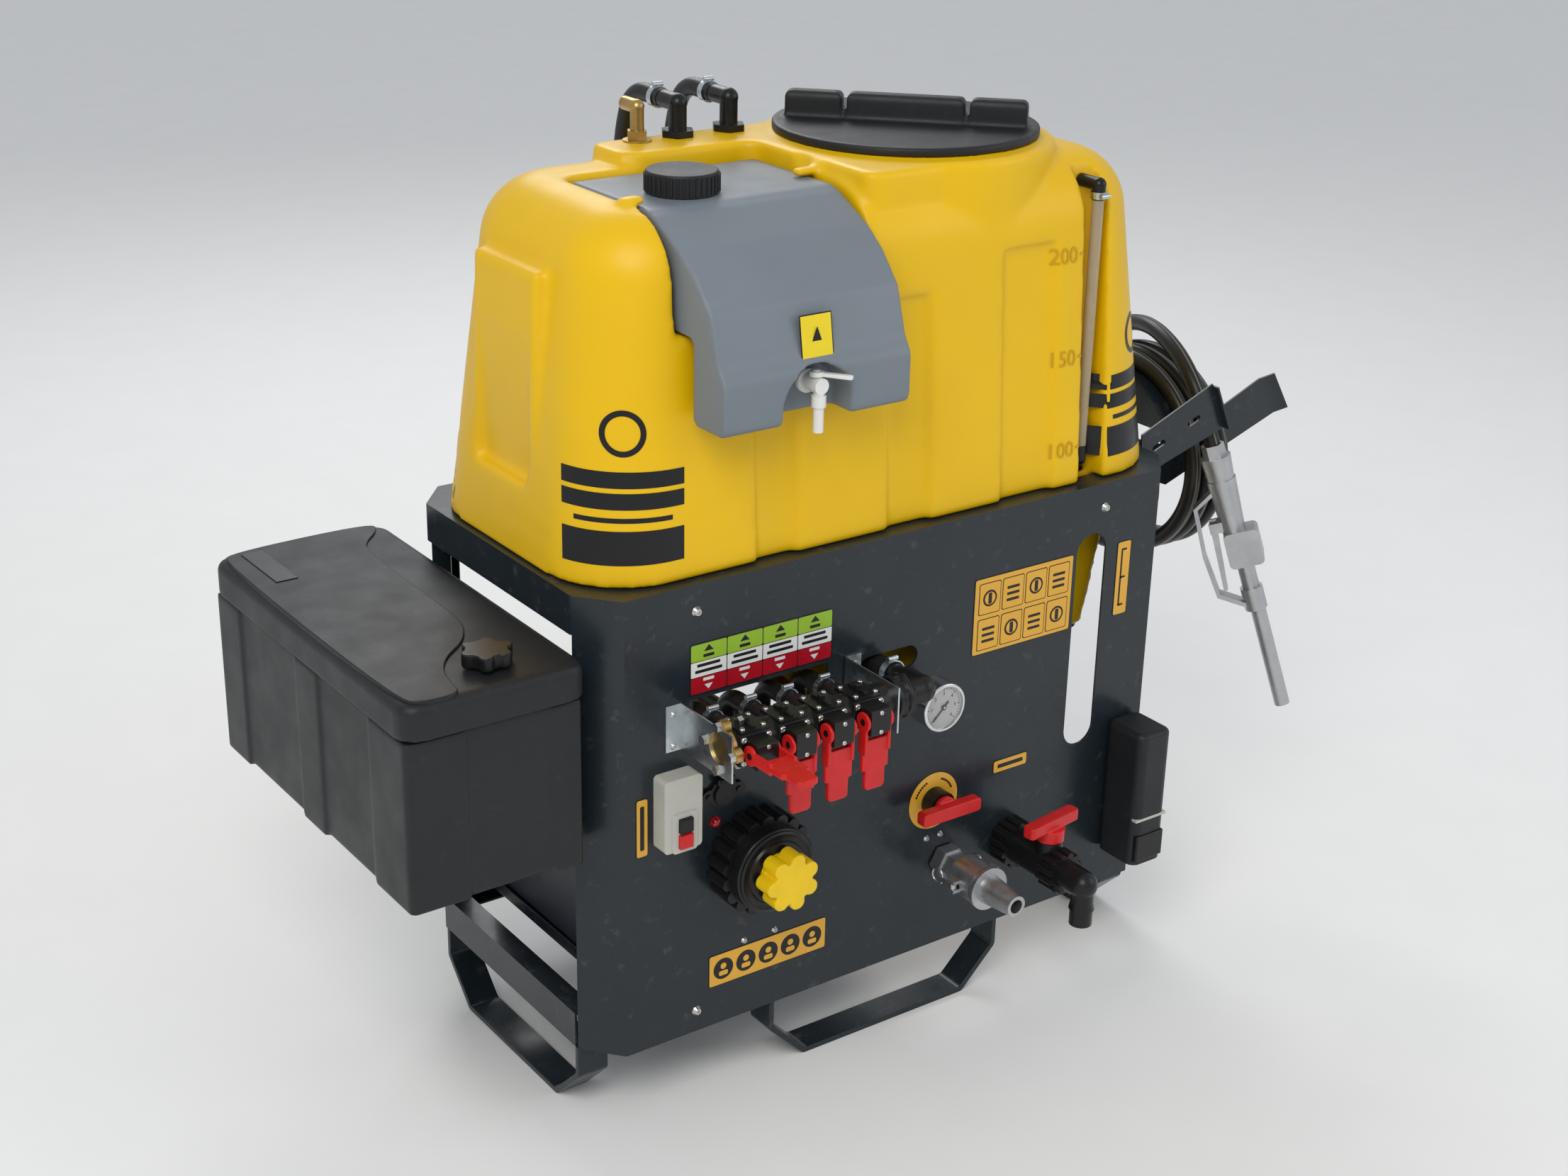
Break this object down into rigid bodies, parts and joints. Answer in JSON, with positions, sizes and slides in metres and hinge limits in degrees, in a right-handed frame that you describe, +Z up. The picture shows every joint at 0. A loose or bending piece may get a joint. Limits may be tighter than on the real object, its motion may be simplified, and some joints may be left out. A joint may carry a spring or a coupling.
{
  "type": "drone spray mixing station",
  "caption": "Ground station that mixes and loads crop spray for drones: moulded tank on a steel frame with valve panel, toolbox, hand-wash tank and delivery hose.",
  "frame": {"origin": "middle of the footprint on the ground, hose and nozzle left out", "axes": "+X along the front panel to the hose side, +Y from the front panel to the back, +Z up"},
  "size_m": [1.5986, 0.7772, 1.2618],
  "materials": {
    "frame_paint": "satin dark slate powder coat",
    "tank_yellow": "rotationally moulded, fine grain",
    "wash_grey": "rotationally moulded, fine grain",
    "black_plastic": "moulded, satin",
    "black_gloss": "moulded, slightly glossy",
    "red_plastic": "moulded, glossy",
    "white_plastic": "moulded, glossy",
    "switch_grey": "moulded, satin",
    "knob_yellow": "moulded, glossy",
    "label_amber": "printed film",
    "lamp_red": "clear red lens",
    "hose_rubber": "smooth black rubber",
    "zinc_steel": "zinc plated",
    "bolt_steel": "stainless",
    "brass": "machined",
    "aluminium": "cast, bead blasted",
    "gauge_steel": "polished stainless case",
    "needle_black": "painted",
    "sight_clear": "flexible clear tube",
    "battery_black": "moulded case",
    "pump_metal": "painted casting",
    "basket_white": "moulded"
  },
  "bodies": {
    "station": {"deck": "frame_paint", "lower_frame": "frame_paint", "side_foot_loops": "frame_paint", "end_foot_loops": "frame_paint", "equipment_tray": "frame_paint", "front_panel": "frame_paint", "fasteners": "bolt_steel", "label_plates": "label_amber", "tank": "tank_yellow", "strainer_basket": "basket_white", "sight_tube": "sight_clear", "hose_elbows": "black_gloss", "brass_fittings": "brass", "return_hoses": "hose_rubber", "handwash_tank": "wash_grey", "tap_body": "white_plastic", "toolbox_body": "black_plastic", "toolbox_hinge_pin": "zinc_steel", "manifold_body": "black_gloss", "manifold_brackets": "zinc_steel", "hose_clamps": "zinc_steel", "gauge_case": "gauge_steel", "switch_box": "switch_grey", "socket_body": "black_gloss", "indicator_lamp": "lamp_red", "filter_housing": "black_gloss", "selector_valve": "black_gloss", "camlock_adapter": "aluminium", "drain_valve": "black_gloss", "soap_dispenser": "black_plastic", "hose_hanger": "frame_paint", "hose_feed": "hose_rubber", "hose_coil": "hose_rubber", "hose_tail": "hose_rubber", "nozzle_body": "aluminium", "pump": "pump_metal", "battery": "battery_black"},
    "seal_carrier": {"lid_seal": "hose_rubber"},
    "lid": {"tank_lid": "black_plastic"},
    "wash_cap": {"handwash_cap": "black_plastic"},
    "tap_handle": {"tap_lever": "white_plastic"},
    "box_lid": {"toolbox_lid": "black_plastic"},
    "box_knob": {"toolbox_knob": "black_gloss"},
    "lever_1": {"valve_lever_1": "red_plastic"},
    "lever_2": {"valve_lever_2": "red_plastic"},
    "lever_3": {"valve_lever_3": "red_plastic"},
    "lever_4": {"valve_lever_4": "red_plastic"},
    "needle": {"gauge_needle": "needle_black"},
    "button_on": {"on_button": "black_gloss"},
    "button_off": {"off_button": "red_plastic"},
    "outlet_flap": {"socket_flap": "black_plastic"},
    "ring": {"filter_ring": "black_gloss"},
    "filter_tap": {"filter_knob": "knob_yellow"},
    "selector": {"selector_handle": "red_plastic"},
    "coupler": {"camlock_coupler": "aluminium"},
    "cam_left": {"cam_lever_left": "zinc_steel"},
    "cam_right": {"cam_lever_right": "zinc_steel"},
    "drain_lever": {"drain_handle": "red_plastic"},
    "push_bar": {"soap_push_bar": "black_gloss"},
    "trigger": {"nozzle_trigger": "aluminium"}
  },
  "joints": [
    {"name": "lid_lift", "type": "slide", "parent": "station", "child": "seal_carrier", "axis": [0, 0, 1], "range_m": [0, 0.2]},
    {"name": "lid_turn", "type": "hinge", "parent": "seal_carrier", "child": "lid", "pos_m": [0.086, 0.07, 1.212], "axis": [0, 0, 1], "range_deg": [0, 90]},
    {"name": "wash_cap_turn", "type": "hinge", "parent": "station", "child": "wash_cap", "pos_m": [-0.313, -0.001, 1.192], "axis": [0, 0, 1], "range_deg": [0, 360]},
    {"name": "tap_turn", "type": "hinge", "parent": "station", "child": "tap_handle", "pos_m": [-0.25, -0.199, 0.991], "axis": [0, 0, -1], "range_deg": [0, 90]},
    {"name": "box_lid_open", "type": "hinge", "parent": "station", "child": "box_lid", "pos_m": [-0.664, 0.3822, 0.634], "axis": [-1, 0, 0], "range_deg": [0, 100]},
    {"name": "box_knob_turn", "type": "hinge", "parent": "box_lid", "child": "box_knob", "pos_m": [-0.658, -0.114, 0.682], "axis": [0, 0, 1], "range_deg": [0, 90]},
    {"name": "valve_1_turn", "type": "hinge", "parent": "station", "child": "lever_1", "pos_m": [-0.385, -0.293, 0.563], "axis": [-1, 0, 0], "range_deg": [-90, 0]},
    {"name": "valve_2_turn", "type": "hinge", "parent": "station", "child": "lever_2", "pos_m": [-0.328, -0.293, 0.563], "axis": [-1, 0, 0], "range_deg": [0, 90]},
    {"name": "valve_3_turn", "type": "hinge", "parent": "station", "child": "lever_3", "pos_m": [-0.271, -0.293, 0.563], "axis": [-1, 0, 0], "range_deg": [0, 90]},
    {"name": "valve_4_turn", "type": "hinge", "parent": "station", "child": "lever_4", "pos_m": [-0.214, -0.293, 0.563], "axis": [-1, 0, 0], "range_deg": [0, 90]},
    {"name": "gauge_needle_turn", "type": "hinge", "parent": "station", "child": "needle", "pos_m": [-0.055, -0.235, 0.514], "axis": [0, 1, 0], "range_deg": [0, 270]},
    {"name": "on_press", "type": "slide", "parent": "station", "child": "button_on", "axis": [0, 1, 0], "range_m": [0, 0.003], "stiffness_N_per_m": 600},
    {"name": "off_press", "type": "slide", "parent": "station", "child": "button_off", "axis": [0, 1, 0], "range_m": [0, 0.003], "stiffness_N_per_m": 600},
    {"name": "outlet_flap_open", "type": "hinge", "parent": "station", "child": "outlet_flap", "pos_m": [-0.359, -0.1772, 0.468], "axis": [-1, 0, 0], "range_deg": [0, 110]},
    {"name": "filter_ring_turn", "type": "hinge", "parent": "station", "child": "ring", "pos_m": [-0.313, -0.189, 0.346], "axis": [0, 1, 0], "range_deg": [0, 60]},
    {"name": "filter_tap_turn", "type": "hinge", "parent": "station", "child": "filter_tap", "pos_m": [-0.313, -0.249, 0.346], "axis": [0, 1, 0], "range_deg": [0, 90]},
    {"name": "selector_turn", "type": "hinge", "parent": "station", "child": "selector", "pos_m": [-0.009, -0.199, 0.334], "axis": [0, 1, 0], "range_deg": [-90, 90]},
    {"name": "coupler_release", "type": "slide", "parent": "station", "child": "coupler", "axis": [0, -1, 0], "range_m": [0, 0.06]},
    {"name": "cam_left_open", "type": "hinge", "parent": "coupler", "child": "cam_left", "pos_m": [-0.021, -0.235, 0.236], "axis": [0, 0, 1], "range_deg": [0, 100]},
    {"name": "cam_right_open", "type": "hinge", "parent": "coupler", "child": "cam_right", "pos_m": [0.049, -0.235, 0.236], "axis": [0, 0, -1], "range_deg": [0, 100]},
    {"name": "drain_turn", "type": "hinge", "parent": "station", "child": "drain_lever", "pos_m": [0.132, -0.257, 0.282], "axis": [0, 0, 1], "range_deg": [0, 90]},
    {"name": "soap_press", "type": "slide", "parent": "station", "child": "push_bar", "axis": [0, 1, 0], "range_m": [0, 0.006], "stiffness_N_per_m": 500},
    {"name": "trigger_squeeze", "type": "hinge", "parent": "station", "child": "trigger", "pos_m": [0.58704, -0.08104, 0.58375], "axis": [-0.7071, -0.7071, 0], "range_deg": [0, 7], "stiffness_Nm_per_rad": 1.5}
  ]
}
